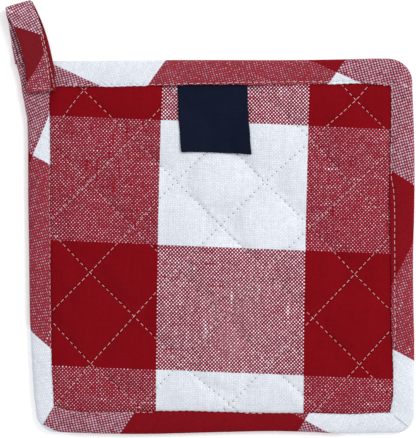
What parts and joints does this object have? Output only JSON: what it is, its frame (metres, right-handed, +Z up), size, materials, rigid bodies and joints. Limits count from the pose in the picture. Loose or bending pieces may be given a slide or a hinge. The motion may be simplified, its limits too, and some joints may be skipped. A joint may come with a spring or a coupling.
{
  "type": "pot holder",
  "caption": "Square quilted cotton pot holder in a red and white woven check, bound with a bias-cut strip whose tail forms a corner hanging loop.",
  "frame": {"origin": "on the surface it lies on, at the centre of its outline's box, loop included", "axes": "+X to the holder's right and +Y to its top edge as it is seen face up, +Z up out of its face"},
  "size_m": [0.2131, 0.2263, 0.0085],
  "materials": {
    "check_cloth": "matt woven cotton, red and white buffalo check",
    "bias_strip": "matt woven cotton check cut on the bias",
    "loop_tape": "matt woven cotton check, folded and stitched",
    "navy_ribbon": "close satin-woven ribbon, bare"
  },
  "bodies": {
    "root": {"quilted_pad": "check_cloth", "edge_binding": "bias_strip", "hanging_loop": "loop_tape", "sewn_label": "navy_ribbon"}
  },
  "joints": []
}
